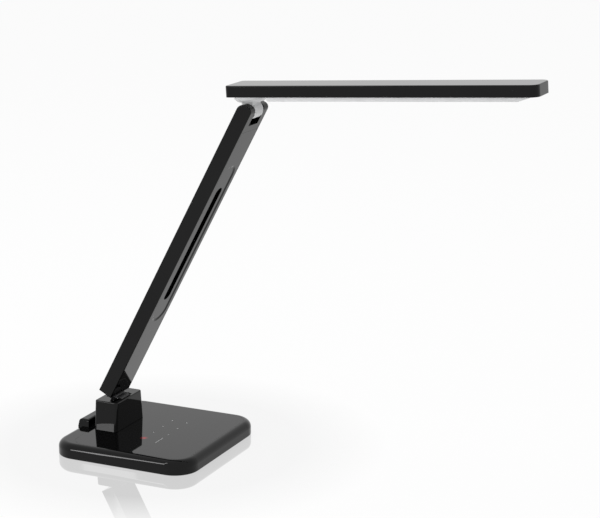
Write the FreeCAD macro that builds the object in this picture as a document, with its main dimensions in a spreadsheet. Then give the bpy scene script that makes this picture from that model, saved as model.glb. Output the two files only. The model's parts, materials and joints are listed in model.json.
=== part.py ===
import FreeCAD, Part
import math
import os
import Sketcher
from FreeCAD import Placement, Rotation, Vector
from types import SimpleNamespace

# Folding desk lamp. Millimetres, +Z up, the user sits at -Y, origin under the middle of the base.

SIZES = [
    # clearances
    ("fit_gap", 0.3, "between pieces of different bodies"),
    ("seat_gap", 0.15, "round a plate set into an opening"),
    ("bore_gap", 0.05, "radial, round pins and posts"),
    ("overrun", 2.0, "how far a cut passes the face that it opens"),
    # base
    ("base_width", 182, "left to right"),
    ("base_depth", 177, "front to back"),
    ("base_room", 9.5, "clear height between bottom cover and roof"),
    ("base_corner", 28, "corner radius in plan"),
    ("base_edge", 8, "rounding of the top edge"),
    ("base_sole_edge", 1.2, "rounding of the lower edge"),
    ("base_wall", 2.6, "side wall"),
    ("base_roof", 3, "roof under the touch panel"),
    ("base_lift", 0.8, "lower rim above the table"),
    ("panel_inset", 9, "touch panel inside the base edge"),
    ("panel_back_inset", 21, "rear edge of the touch panel inside the base edge"),
    ("panel_thickness", 1.6, "touch panel"),
    ("cover_thickness", 2, "bottom cover"),
    ("pad_thickness", 1.4, "foot pad"),
    ("pad_inset", 4, "foot pad inside the bottom cover"),
    ("ballast_back_gap", 12, "steel plate short of the swivel"),
    ("ballast_air", 1.9, "between the steel plate and the control board"),
    ("ballast_corner", 8, "corner radius of the steel plate"),
    ("ballast_gap", 4.5, "steel plate beside the screw bosses"),
    ("board_margin", 13, "control board beyond the indicator lights"),
    ("board_thickness", 1.6, "circuit boards"),
    ("board_corner", 2, "corner radius of circuit boards"),
    ("light_spacing", 22.3, "indicator lights, left to right"),
    ("light_row_spacing", 19.4, "between the two rows of indicator lights"),
    ("light_setback", 52.8, "rear row of indicator lights in front of the swivel axis"),
    ("light_radius", 1.1, "round light pipe"),
    ("light_bar_length", 18.7, "bar light pipe"),
    ("light_bar_width", 1, "bar light pipe"),
    ("boss_inset", 18, "base screws from the base sides"),
    ("boss_back_inset", 25, "rear base screws from the base rear"),
    ("boss_radius", 4, "screw bosses in the base"),
    ("screw_radius", 1.4, "thread of the base screws"),
    ("screw_head_radius", 2.7, "head of the base screws"),
    ("screw_head_height", 1.2, "head of the base screws"),
    ("screw_length", 7, "thread length of the base screws"),
    # power inlet housing behind the block
    ("port_foot_width", 56, "at the level of the base top"),
    ("port_top_width", 52, "at its top"),
    ("port_depth", 14, "front to back at its foot"),
    ("port_top_front_setback", 1, "lean of its front face"),
    ("port_top_back_setback", 1.1, "lean of its rear face"),
    ("port_rise", 8.3, "above the base top"),
    ("port_lift", 1.6, "underside above the bottom cover"),
    ("port_edge", 2.8, "rounding of its top edges"),
    ("port_wall", 2, "wall of the housing"),
    ("jack_width", 9, "power jack body"),
    ("jack_height", 10, "power jack body"),
    ("jack_length", 12, "power jack body"),
    ("jack_bore", 3.1, "radius of the jack opening"),
    ("jack_bore_depth", 9.5, "depth of the jack opening"),
    ("jack_pin", 1, "radius of the centre pin"),
    ("jack_pin_tip", 1.5, "pin tip inside the jack mouth"),
    # swivel between base and block
    ("turret_back_inset", 38.7, "swivel axis in front of the base rear"),
    ("post_radius", 8, "swivel post through the base roof"),
    ("post_head_radius", 10.5, "swivel post inside the block"),
    ("post_head_height", 11, "swivel post inside the block"),
    ("post_bore", 4, "wire passage through the post"),
    ("post_foot", 5, "lower end of the post above the table"),
    ("bush_wall", 2.2, "swivel bush"),
    ("bush_flange_radius", 14, "swivel bush flange"),
    ("bush_flange", 1.2, "swivel bush flange thickness"),
    ("swivel_washer_thickness", 1.2, "friction washer"),
    ("swivel_nut_thickness", 3.4, "retaining nut"),
    ("swivel_nut_flats", 25, "retaining nut across flats"),
    # block that carries the arm
    ("turret_foot_width", 64, "left to right at the foot"),
    ("turret_top_width", 57.5, "left to right at the top"),
    ("turret_foot_depth", 30.2, "front to back at the foot"),
    ("turret_top_depth", 30, "front to back at the top"),
    ("turret_height", 34.4, "from its foot to its top"),
    ("turret_corner", 3.5, "rounding of the upright edges"),
    ("turret_edge", 1.2, "rounding of the top edges"),
    ("slot_gap", 0.5, "slot round the hinge barrel"),
    ("slot_rear", 14.2, "slot behind the hinge axis"),
    ("pivot_forward", 4.55, "hinge axis in front of the swivel axis"),
    ("pivot_drop", 5.7, "hinge axis below the top of the block"),
    ("pivot_radius", 3, "hinge pin"),
    ("pivot_reach", 24, "hinge pin end, left of the middle"),
    ("cap_radius", 4.5, "cap over the hinge pin"),
    ("cap_thickness", 1.6, "cap over the hinge pin"),
    # arm, measured from its hinge axis
    ("arm_lean_angle", 28, "degrees forward of upright"),
    ("arm_width", 43.6, "left to right"),
    ("arm_thickness", 17.3, "front to back"),
    ("arm_reach", 393.5, "hinge axis to the fork axis, along the arm"),
    ("arm_edge", 1, "rounding of the long edges"),
    ("arm_wall", 2.4, "wall of the arm shell"),
    ("arm_end_wall", 3, "wall at the lower end"),
    ("fork_width", 22, "slot between the tines"),
    ("fork_depth", 13.5, "slot below the fork axis"),
    ("fork_root", 8, "solid stretch under the fork slot"),
    ("fork_corner", 5.5, "front corner of the tines' ends"),
    ("recess_width", 30, "shallow recess in the arm cover"),
    ("recess_slope", 3, "sloping border of the recess"),
    ("recess_depth", 1, "shallow recess in the arm cover"),
    ("recess_start", 112, "lower end of the recess"),
    ("recess_end_inset", 67.5, "upper end of the recess below the fork axis"),
    ("groove_width", 13, "deep groove inside the recess"),
    ("groove_depth", 8, "deep groove inside the recess"),
    ("groove_inset", 30, "groove inside the ends of the recess"),
    ("groove_wall", 1.6, "trough round the groove"),
    ("spine_width", 28, "steel strip in the arm"),
    ("spine_thickness", 2, "steel strip in the arm"),
    ("barrel_radius", 6.8, "hinge barrel at the foot of the arm"),
    ("barrel_width", 20, "hinge barrel at the foot of the arm"),
    ("insert_length", 36, "hinge insert inside the arm"),
    ("hinge_washer_thickness", 1, "friction washers of the hinge"),
    ("hinge_washer_radius", 6, "friction washers of the hinge"),
    ("hinge_screw_radius", 1.3, "screws that hold the insert"),
    ("hinge_screw_head_radius", 2.4, "screws that hold the insert"),
    ("hinge_screw_head_height", 1.5, "screws that hold the insert"),
    ("hinge_screw_first", 19, "first screw beyond the hinge axis"),
    ("hinge_screw_spacing", 14, "between the screws"),
    ("cable_radius", 1.5, "lead inside the arm"),
    ("tilt_pin_radius", 2.5, "pin through the fork"),
    ("tilt_pin_reach", 18, "pin end, left of the middle"),
    ("tilt_washer_thickness", 0.9, "friction washers in the fork"),
    ("tilt_washer_radius", 7, "friction washers in the fork"),
    # knuckle and head, measured from the fork axis
    ("head_rise_angle", 3.8, "degrees that the head rises to its tip"),
    ("knuckle_radius", 9.2, "barrel between the tines"),
    ("neck_depth", 13, "neck from the barrel to the turntable"),
    ("disc_thickness", 6.2, "turntable"),
    ("disc_radius", 18, "turntable"),
    ("disc_edge", 3, "bevel under the turntable"),
    ("head_post_radius", 6, "swivel post of the head"),
    ("head_width", 43.6, "left to right"),
    ("head_thickness", 12.6, "head shell"),
    ("head_rear", 20.5, "rear end behind the fork axis"),
    ("head_front", 331.1, "tip in front of the fork axis"),
    ("head_corner", 9, "upright corners at the tip of the head shell"),
    ("head_rear_corner", 5, "upright corners at the rear of the head shell"),
    ("head_edge", 1.2, "rounding of its top edges"),
    ("head_wall", 1.8, "wall of the head shell"),
    ("head_tip_wall", 7, "wall at the tip of the head shell"),
    ("plate_thickness", 2.2, "plate that carries the head on its post"),
    ("plate_lip", 8, "that plate in front of the turntable"),
    ("head_washer_thickness", 1, "friction washer on the head post"),
    ("head_washer_radius", 10, "friction washer on the head post"),
    ("head_clip_thickness", 2.4, "retaining clip on the head post"),
    ("head_clip_radius", 9, "retaining clip on the head post"),
    ("head_boss_radius", 3, "screw bosses in the head"),
    ("head_boss_x", 14, "screw bosses left and right of the middle"),
    ("head_boss_rear", 13, "rear screw bosses behind the post"),
    ("head_boss_front", 17.5, "front screw bosses before the post"),
    ("head_screw_radius", 1.1, "head screws"),
    ("head_screw_head_radius", 2.1, "head screws"),
    ("head_screw_head_height", 1.1, "head screws"),
    ("head_screw_length", 6, "head screws"),
    ("diffuser_drop", 4.7, "light plate below the head shell"),
    ("diffuser_flange", 1.8, "light plate inside the head shell"),
    ("diffuser_front_slope", 15, "sloping front end of the light plate"),
    ("diffuser_rear_slope", 3.4, "sloping rear end of the light plate"),
    ("diffuser_edge", 0.8, "rounding of its long lower edges"),
    ("diffuser_wall", 1.8, "light plate, hollow above"),
    ("reflector_wall", 1, "frame between light plate and board"),
    ("spreader_thickness", 1.5, "aluminium strip over the light board"),
    ("led_spacing", 18, "light sources along the head"),
    ("led_row_offset", 9, "rows of light sources left and right of the middle"),
    ("led_width", 2.8, "light source"),
    ("led_length", 3.5, "light source"),
    ("led_height", 0.8, "light source"),
]

LIGHT_COLUMN_SHARES = (-1.5, -0.5, 0.5, 1.5)
WEB_FRONT_SHARES = (0.64, 0.75)
WEB_REAR_SHARES = (0.98, -0.08)
WEB_HEEL_SHARE = 0.7
LED_ROWS = (-1, 1)
DIAGONAL_SHARE = math.sqrt(2)
NUT_SIDES = 6
FULL_TURN = 360

doc = FreeCAD.newDocument("folding_desk_lamp")
sheet = doc.addObject("Spreadsheet::Sheet", "dim")
for row, (alias, value, note) in enumerate(SIZES, start=1):
    sheet.set(f"A{row}", str(value))
    sheet.setAlias(f"A{row}", alias)
    sheet.set(f"B{row}", note)
doc.recompute()


class Size:
    """A number together with the formula that gives it from the sheet."""

    def __init__(self, value, text):
        self.value = value
        self.text = text

    def __add__(self, other):
        other = as_size(other)
        return Size(self.value + other.value, f"({self.text} + {other.text})")

    def __sub__(self, other):
        other = as_size(other)
        return Size(self.value - other.value, f"({self.text} - {other.text})")

    def __mul__(self, share):
        share = as_size(share)
        return Size(self.value * share.value, f"({self.text} * {share.text})")

    def __truediv__(self, share):
        share = as_size(share)
        return Size(self.value / share.value, f"({self.text} / {share.text})")

    def __neg__(self):
        return Size(-self.value, f"(0 - {self.text})")


def as_size(number):
    if isinstance(number, Size):
        return number
    return Size(float(number), f"({number})")


def sine(angle):
    return Size(math.sin(math.radians(angle.value)), f"sin({angle.text} * 1 deg)")


def cosine(angle):
    return Size(math.cos(math.radians(angle.value)), f"cos({angle.text} * 1 deg)")


dim = SimpleNamespace(**{alias: Size(sheet.get(alias), f"dim.{alias}") for alias, *_ in SIZES})
ZERO = as_size(0)
finished = []


def bind(item, prop, size):
    item.setExpression(prop, as_size(size).text)


def move(item, x=ZERO, y=ZERO, z=ZERO, axis=Vector(1, 0, 0), angle=ZERO):
    start = Vector(as_size(x).value, as_size(y).value, as_size(z).value)
    item.Placement = Placement(start, Rotation(axis, as_size(angle).value))
    bind(item, "Placement.Base.x", x)
    bind(item, "Placement.Base.y", y)
    bind(item, "Placement.Base.z", z)


# Levels and places that several bodies share
half_width = dim.base_width / 2
half_depth = dim.base_depth / 2
cover_top = dim.pad_thickness + dim.cover_thickness
base_ceiling = cover_top + dim.base_room
panel_floor = base_ceiling + dim.base_roof
base_height = panel_floor + dim.panel_thickness
turret_y = half_depth - dim.turret_back_inset
turret_foot = base_height + dim.fit_gap
turret_top = turret_foot + dim.turret_height
pivot_y = turret_y - dim.pivot_forward
pivot_z = turret_top - dim.pivot_drop

# The arm starts just clear of the block's top, upright or folded flat.
arm_start = dim.pivot_drop + dim.fit_gap
arm_front = dim.pivot_drop + dim.fit_gap

# Frames: the arm leans about its hinge axis, the head about the fork axis.
fork_axis_offset = arm_front + dim.arm_thickness / 2
lean_across = cosine(dim.arm_lean_angle)
lean_along = sine(dim.arm_lean_angle)
fork_y = pivot_y + fork_axis_offset * lean_across - dim.arm_reach * lean_along
fork_z = pivot_z + fork_axis_offset * lean_along + dim.arm_reach * lean_across


def keep(item, frame="base"):
    if frame == "arm":
        move(item, ZERO, pivot_y, pivot_z, Vector(1, 0, 0), dim.arm_lean_angle)
        bind(item, "Placement.Rotation.Angle", dim.arm_lean_angle)
    if frame == "head":
        move(item, ZERO, fork_y, fork_z, Vector(-1, 0, 0), dim.head_rise_angle)
        bind(item, "Placement.Rotation.Angle", dim.head_rise_angle)
    finished.append(item)
    return item


def new_body(label):
    body = doc.addObject("PartDesign::Body", label)
    body.Label = label
    return body


def feature(body, kind, name):
    return body.newObject(f"PartDesign::{kind}", f"{body.Label}_{name}")


def box(body, name, low, high, kind="AdditiveBox"):
    made = feature(body, kind, name)
    bind(made, "Length", as_size(high[0]) - low[0])
    bind(made, "Width", as_size(high[1]) - low[1])
    bind(made, "Height", as_size(high[2]) - low[2])
    move(made, *low)
    return made


def cut_box(body, name, low, high):
    return box(body, name, low, high, "SubtractiveBox")


TURNS = {"x": (Vector(0, 1, 0), 90), "y": (Vector(1, 0, 0), -90), "z": (Vector(0, 0, 1), 0)}


def cylinder(body, name, radius, start, length, axis="z", kind="AdditiveCylinder"):
    made = feature(body, kind, name)
    bind(made, "Radius", radius)
    bind(made, "Height", length)
    move(made, *start, *TURNS[axis])
    return made


def cut_cylinder(body, name, radius, start, length, axis="z"):
    return cylinder(body, name, radius, start, length, axis, "SubtractiveCylinder")


def wedge(body, name, low, high, top_low, top_high):
    """A block whose top is smaller than its foot; corners given as (x, y), low and high with z."""
    made = feature(body, "AdditiveWedge", name)
    bind(made, "Xmin", low[0])
    bind(made, "Xmax", high[0])
    bind(made, "X2min", top_low[0])
    bind(made, "X2max", top_high[0])
    bind(made, "Ymin", ZERO)
    bind(made, "Ymax", as_size(high[2]) - low[2])
    bind(made, "Zmin", -as_size(high[1]))
    bind(made, "Zmax", -as_size(low[1]))
    bind(made, "Z2min", -as_size(top_high[1]))
    bind(made, "Z2max", -as_size(top_low[1]))
    move(made, ZERO, ZERO, low[2], Vector(1, 0, 0), as_size(90))
    return made


def sketch_on(body, name, role, offset=ZERO):
    made = body.newObject("Sketcher::SketchObject", f"{body.Label}_{name}")
    plane = [item for item in body.Origin.OriginFeatures if item.Role == role][0]
    made.AttachmentSupport = [(plane, "")]
    made.MapMode = "FlatFace"
    bind(made, "AttachmentOffset.Base.z", offset)
    return made


def hold(sketch, kind, size, *where):
    number = sketch.addConstraint(Sketcher.Constraint(kind, *where, as_size(size).value))
    bind(sketch, f"Constraints[{number}]", size)


def draw_circle(sketch, radius, x=ZERO, y=ZERO):
    centre = Vector(as_size(x).value, as_size(y).value, 0)
    ring = sketch.addGeometry(Part.Circle(centre, Vector(0, 0, 1), as_size(radius).value), False)
    hold(sketch, "Radius", radius, ring)
    hold(sketch, "DistanceX", x, ring, 3)
    hold(sketch, "DistanceY", y, ring, 3)


def draw_rounded(sketch, low, high, radius):
    """A rectangle with four equal round corners."""
    bend = as_size(radius).value
    left, front = (as_size(side).value + bend for side in low)
    right, back = (as_size(side).value - bend for side in high)
    arcs = []
    for quarter, (x, y) in enumerate([(left, front), (right, front), (right, back), (left, back)]):
        circle = Part.Circle(Vector(x, y, 0), Vector(0, 0, 1), bend)
        begin = math.pi * (1 + quarter / 2)
        arcs.append(sketch.addGeometry(Part.ArcOfCircle(circle, begin, begin + math.pi / 2), False))
    lines = []
    for quarter in range(4):
        begin = sketch.getPoint(arcs[quarter], 2)
        end = sketch.getPoint(arcs[(quarter + 1) % 4], 1)
        lines.append(sketch.addGeometry(Part.LineSegment(begin, end), False))
    for quarter in range(4):
        following = arcs[(quarter + 1) % 4]
        sketch.addConstraint(Sketcher.Constraint("Tangent", arcs[quarter], 2, lines[quarter], 1))
        sketch.addConstraint(Sketcher.Constraint("Tangent", lines[quarter], 2, following, 1))
    for quarter, way in enumerate(("Horizontal", "Vertical", "Horizontal", "Vertical")):
        sketch.addConstraint(Sketcher.Constraint(way, lines[quarter]))
    for arc in arcs[1:]:
        sketch.addConstraint(Sketcher.Constraint("Equal", arcs[0], arc))
    hold(sketch, "Radius", radius, arcs[0])
    hold(sketch, "DistanceY", low[1], lines[0], 1)
    hold(sketch, "DistanceX", high[0], lines[1], 1)
    hold(sketch, "DistanceY", high[1], lines[2], 1)
    hold(sketch, "DistanceX", low[0], lines[3], 1)


def draw_slot(sketch, half_width, start, end):
    """A long hole with round ends, along the sketch's second axis."""
    bend = as_size(half_width).value
    top = Part.Circle(Vector(0, as_size(end).value - bend, 0), Vector(0, 0, 1), bend)
    bottom = Part.Circle(Vector(0, as_size(start).value + bend, 0), Vector(0, 0, 1), bend)
    arcs = [
        sketch.addGeometry(Part.ArcOfCircle(top, 0, math.pi), False),
        sketch.addGeometry(Part.ArcOfCircle(bottom, math.pi, 2 * math.pi), False),
    ]
    lines = []
    for one, other in ((0, 1), (1, 0)):
        begin = sketch.getPoint(arcs[one], 2)
        end_point = sketch.getPoint(arcs[other], 1)
        lines.append(sketch.addGeometry(Part.LineSegment(begin, end_point), False))
    for one, other in ((0, 1), (1, 0)):
        sketch.addConstraint(Sketcher.Constraint("Tangent", arcs[one], 2, lines[one], 1))
        sketch.addConstraint(Sketcher.Constraint("Tangent", lines[one], 2, arcs[other], 1))
    hold(sketch, "Radius", half_width, arcs[0])
    for arc, height in zip(arcs, (as_size(end) - half_width, as_size(start) + half_width)):
        sketch.addConstraint(Sketcher.Constraint("PointOnObject", arc, 3, -2))
        hold(sketch, "DistanceY", height, arc, 3)


def draw_outline(sketch, points):
    places = [Vector(as_size(x).value, as_size(y).value, 0) for x, y in points]
    count = len(places)
    for number in range(count):
        side = Part.LineSegment(places[number], places[(number + 1) % count])
        sketch.addGeometry(side, False)
    for number in range(count):
        sketch.addConstraint(Sketcher.Constraint("Coincident", number, 2, (number + 1) % count, 1))
    for number, (x, y) in enumerate(points):
        hold(sketch, "DistanceX", x, number, 1)
        hold(sketch, "DistanceY", y, number, 1)


def pad(body, name, sketch, length, both_ways=False):
    made = feature(body, "Pad", name)
    made.Profile = sketch
    bind(made, "Length", length)
    made.Midplane = both_ways
    return made


def pocket(body, name, sketch, length, along_normal=False):
    made = feature(body, "Pocket", name)
    made.Profile = sketch
    bind(made, "Length", length)
    made.Reversed = along_normal
    return made


def round_edges(body, name, radius, chosen, kind="Fillet", prop="Radius"):
    """Rounds the edges of the body so far that the test picks."""
    doc.recompute()
    base = body.Tip
    picked = [f"Edge{n}" for n, edge in enumerate(base.Shape.Edges, start=1) if chosen(edge)]
    if not picked:
        raise RuntimeError(f"{body.Label}: no edge for {name}")
    made = feature(body, kind, name)
    made.Base = (base, picked)
    bind(made, prop, radius)
    return made


NEAR = 1e-4
STEEP_SHARE = 0.8


def lies_at(edge, direction, place):
    """True where the whole edge lies in the plane at that place."""
    points = [vertex.Point for vertex in edge.Vertexes] + [edge.valueAt(edge.ParameterRange[0])]
    middle = sum(edge.ParameterRange) / 2
    points.append(edge.valueAt(middle))
    return all(abs(getattr(point, direction) - as_size(place).value) < NEAR for point in points)


def runs_along(edge, direction):
    """True for a straight edge that mostly follows the direction."""
    if len(edge.Vertexes) < 2 or not isinstance(edge.Curve, Part.Line):
        return False
    way = edge.Vertexes[1].Point - edge.Vertexes[0].Point
    return abs(getattr(way, direction)) > way.Length * STEEP_SHARE


def rounded_plate(label, low, high, corner, bottom, thickness):
    body = new_body(label)
    outline = sketch_on(body, "outline", "XY_Plane", bottom)
    draw_rounded(outline, low, high, corner)
    pad(body, "plate", outline, thickness)
    return body


def ring(label, inner, outer, bottom, thickness, x=ZERO, y=ZERO):
    body = new_body(label)
    outline = sketch_on(body, "outline", "XY_Plane", bottom)
    draw_circle(outline, outer, x, y)
    draw_circle(outline, inner, x, y)
    pad(body, "ring", outline, thickness)
    return body


def rod(label, radius, start, length, axis, frame="base"):
    body = new_body(label)
    cylinder(body, "rod", radius, start, length, axis)
    return keep(body, frame)


def group(label, members, frame="base"):
    made = doc.addObject("Part::Compound", label)
    made.Label = label
    made.Links = members
    return keep(made, frame)


def loose_cylinder(label, radius, start, length, axis="z"):
    made = doc.addObject("Part::Cylinder", label)
    bind(made, "Radius", radius)
    bind(made, "Height", length)
    move(made, *start, *TURNS[axis])
    return made


def loose_box(label, low, high):
    made = doc.addObject("Part::Box", label)
    bind(made, "Length", as_size(high[0]) - low[0])
    bind(made, "Width", as_size(high[1]) - low[1])
    bind(made, "Height", as_size(high[2]) - low[2])
    move(made, *low)
    return made


def loose_screw(label, head_radius, head_height, radius, length, start, axis="z"):
    """A screw whose head starts at the given place and whose thread follows the axis."""
    head = loose_cylinder(f"{label}_head", head_radius, start, head_height, axis)
    thread_start = list(start)
    thread_start["xyz".index(axis)] = as_size(thread_start["xyz".index(axis)]) + head_height
    thread = loose_cylinder(f"{label}_thread", radius, thread_start, length, axis)
    made = doc.addObject("Part::Fuse", label)
    made.Base = head
    made.Tool = thread
    return made


# Places in the base
inner_x = half_width - dim.base_wall
inner_y = half_depth - dim.base_wall
inner_corner = dim.base_corner - dim.base_wall
panel_low = (-half_width + dim.panel_inset, -half_depth + dim.panel_inset)
panel_high = (half_width - dim.panel_inset, half_depth - dim.panel_back_inset)
panel_corner = dim.base_corner - dim.panel_inset
bush_outer = dim.post_radius + dim.bore_gap + dim.bush_wall
boss_places = [
    (side * (half_width - dim.boss_inset), y)
    for side in (as_size(-1), as_size(1))
    for y in (-half_depth + dim.boss_inset, half_depth - dim.boss_back_inset)
]
light_row_back = turret_y - dim.light_setback
light_row_front = light_row_back - dim.light_row_spacing
light_dots = [(dim.light_spacing * share, light_row_back) for share in LIGHT_COLUMN_SHARES]
light_dots += [(dim.light_spacing * share, light_row_front) for share in LIGHT_COLUMN_SHARES[1:]]
light_bar_middle = dim.light_spacing * LIGHT_COLUMN_SHARES[0]
port_half_foot = dim.port_foot_width / 2
port_front = half_depth - dim.port_depth
port_floor = cover_top + dim.port_lift
jack_floor = port_floor + dim.port_wall
jack_axis = jack_floor + dim.jack_height / 2
jack_back = half_depth - dim.port_wall


def cut_lights(body, low, gap):
    """Passages for the light pipes through a plate whose underside is at the given level."""
    depth = base_height - low + dim.overrun * 2
    for number, (x, y) in enumerate(light_dots):
        cut_cylinder(body, f"light_{number}", dim.light_radius + gap, (x, y, low - dim.overrun), depth)
    low_corner = (light_bar_middle - dim.light_bar_length / 2 - gap,
                  light_row_front - dim.light_bar_width / 2 - gap, low - dim.overrun)
    high_corner = (light_bar_middle + dim.light_bar_length / 2 + gap,
                   light_row_front + dim.light_bar_width / 2 + gap, base_height + dim.overrun)
    cut_box(body, "light_bar", low_corner, high_corner)


def make_base_shell():
    body = new_body("base_shell")
    outline = sketch_on(body, "outline", "XY_Plane", dim.base_lift)
    draw_rounded(outline, (-half_width, -half_depth), (half_width, half_depth), dim.base_corner)
    pad(body, "block", outline, base_height - dim.base_lift)
    round_edges(body, "top_edge", dim.base_edge, lambda edge: lies_at(edge, "z", base_height))
    round_edges(body, "sole_edge", dim.base_sole_edge, lambda edge: lies_at(edge, "z", dim.base_lift))
    inside = sketch_on(body, "inside", "XY_Plane", dim.base_lift)
    draw_rounded(inside, (-inner_x, -inner_y), (inner_x, inner_y), inner_corner)
    pocket(body, "hollow", inside, base_ceiling - dim.base_lift, along_normal=True)
    seat = sketch_on(body, "seat", "XY_Plane", base_height)
    draw_rounded(seat, panel_low, panel_high, panel_corner)
    pocket(body, "panel_seat", seat, dim.panel_thickness)
    for number, (x, y) in enumerate(boss_places):
        cylinder(body, f"boss_{number}", dim.boss_radius, (x, y, cover_top), panel_floor - cover_top)
        cut_cylinder(body, f"boss_bore_{number}", dim.screw_radius + dim.bore_gap,
                     (x, y, cover_top - dim.overrun), dim.screw_length + dim.overrun)
    cut_cylinder(body, "bush_bore", bush_outer + dim.bore_gap,
                 (ZERO, turret_y, base_ceiling - dim.overrun), base_height)
    notch = port_half_foot + dim.seat_gap
    cut_box(body, "port_notch", (-notch, port_front - dim.seat_gap, port_floor - dim.seat_gap),
            (notch, half_depth + dim.overrun, base_height + dim.overrun))
    cut_lights(body, base_ceiling, dim.seat_gap)
    return keep(body)


def make_touch_panel():
    low = [side + dim.seat_gap for side in panel_low]
    high = [side - dim.seat_gap for side in panel_high]
    body = rounded_plate("touch_panel", low, high, panel_corner - dim.seat_gap, panel_floor,
                         dim.panel_thickness)
    cut_cylinder(body, "bush_bore", bush_outer + dim.bore_gap,
                 (ZERO, turret_y, panel_floor - dim.overrun), base_height)
    cut_lights(body, panel_floor, dim.seat_gap)
    return keep(body)


def make_bottom_cover():
    x = inner_x - dim.seat_gap
    y = inner_y - dim.seat_gap
    body = rounded_plate("bottom_cover", (-x, -y), (x, y), inner_corner - dim.seat_gap,
                         dim.pad_thickness, dim.cover_thickness)
    for number, (boss_x, boss_y) in enumerate(boss_places):
        low = dim.pad_thickness - dim.overrun
        cut_cylinder(body, f"screw_{number}", dim.screw_radius + dim.bore_gap, (boss_x, boss_y, low),
                     dim.cover_thickness + dim.overrun * 2)
        cut_cylinder(body, f"screw_head_{number}", dim.screw_head_radius + dim.bore_gap,
                     (boss_x, boss_y, low), dim.overrun + dim.screw_head_height)
    return keep(body)


def make_foot_pad():
    x = inner_x - dim.seat_gap - dim.pad_inset
    y = inner_y - dim.seat_gap - dim.pad_inset
    return keep(rounded_plate("foot_pad", (-x, -y), (x, y), inner_corner - dim.pad_inset, ZERO,
                              dim.pad_thickness))


def make_ballast_plate():
    x = half_width - dim.boss_inset - dim.boss_radius - dim.ballast_gap
    front = -half_depth + dim.boss_inset
    back = turret_y - dim.bush_flange_radius - dim.ballast_back_gap
    thickness = dim.base_room - dim.board_thickness - dim.ballast_air
    return keep(rounded_plate("ballast_plate", (-x, front), (x, back), dim.ballast_corner, cover_top,
                              thickness))


def make_control_board():
    x = dim.light_spacing * LIGHT_COLUMN_SHARES[-1] + dim.board_margin
    front = light_row_front - dim.board_margin
    back = light_row_back + dim.board_margin
    return keep(rounded_plate("control_board", (-x, front), (x, back), dim.board_corner,
                              base_ceiling - dim.board_thickness, dim.board_thickness))


def make_indicator_lights():
    depth = base_height - base_ceiling
    members = [
        loose_cylinder(f"light_pipe_{number}", dim.light_radius, (x, y, base_ceiling), depth)
        for number, (x, y) in enumerate(light_dots)
    ]
    low = (light_bar_middle - dim.light_bar_length / 2, light_row_front - dim.light_bar_width / 2,
           base_ceiling)
    high = (light_bar_middle + dim.light_bar_length / 2, light_row_front + dim.light_bar_width / 2,
            base_height)
    members.append(loose_box("light_pipe_bar", low, high))
    return group("indicator_lights", members)


def make_base_screws():
    members = [
        loose_screw(f"base_screw_{number}", dim.screw_head_radius, dim.screw_head_height,
                    dim.screw_radius, dim.screw_length, (x, y, dim.pad_thickness))
        for number, (x, y) in enumerate(boss_places)
    ]
    return group("base_screws", members)


def make_port_housing():
    body = new_body("port_housing")
    foot = port_half_foot
    top = dim.port_top_width / 2
    box(body, "foot", (-foot, port_front, port_floor), (foot, half_depth, base_height))
    wedge(body, "hood", (-foot, port_front, base_height),
          (foot, half_depth, base_height + dim.port_rise),
          (-top, port_front + dim.port_top_front_setback),
          (top, half_depth - dim.port_top_back_setback))
    top_level = base_height + dim.port_rise
    round_edges(body, "top_edge", dim.port_edge, lambda edge: lies_at(edge, "z", top_level))
    half = dim.jack_width / 2 + dim.seat_gap
    cut_box(body, "jack_room", (-half, port_front - dim.overrun, jack_floor),
            (half, jack_back, jack_floor + dim.jack_height + dim.seat_gap))
    cut_cylinder(body, "jack_mouth", dim.jack_bore + dim.seat_gap,
                 (ZERO, jack_back - dim.overrun, jack_axis), dim.port_wall + dim.overrun * 2, "y")
    return keep(body)


def make_dc_jack():
    body = new_body("dc_jack")
    half = dim.jack_width / 2
    box(body, "shell", (-half, jack_back - dim.jack_length, jack_floor),
        (half, jack_back, jack_floor + dim.jack_height))
    cut_cylinder(body, "bore", dim.jack_bore, (ZERO, jack_back - dim.jack_bore_depth, jack_axis),
                 dim.jack_bore_depth + dim.overrun, "y")
    return keep(body)


def make_dc_pin():
    return rod("dc_pin", dim.jack_pin, (ZERO, jack_back - dim.jack_bore_depth, jack_axis),
               dim.jack_bore_depth - dim.jack_pin_tip, "y")


def make_swivel_bush():
    body = new_body("swivel_bush")
    sleeve = sketch_on(body, "sleeve", "XY_Plane", base_ceiling)
    draw_circle(sleeve, bush_outer, ZERO, turret_y)
    pad(body, "sleeve_pad", sleeve, base_height - base_ceiling)
    cylinder(body, "flange", dim.bush_flange_radius,
             (ZERO, turret_y, base_ceiling - dim.bush_flange), dim.bush_flange)
    cut_cylinder(body, "bore", dim.post_radius + dim.bore_gap,
                 (ZERO, turret_y, base_ceiling - dim.bush_flange - dim.overrun), base_height)
    return keep(body)


# Levels of the block
washer_top = base_ceiling - dim.bush_flange - dim.seat_gap
nut_top = washer_top - dim.swivel_washer_thickness
post_top = turret_foot + dim.post_head_height
slot_floor = pivot_z - dim.barrel_radius - dim.slot_gap
slope_share = (pivot_z - turret_foot) / (turret_top - turret_foot)
turret_taper = dim.turret_foot_width - dim.turret_top_width
side_at_pivot = (dim.turret_foot_width - turret_taper * slope_share) / 2
cap_outer = side_at_pivot - dim.fit_gap
cap_inner = cap_outer - dim.cap_thickness


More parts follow.
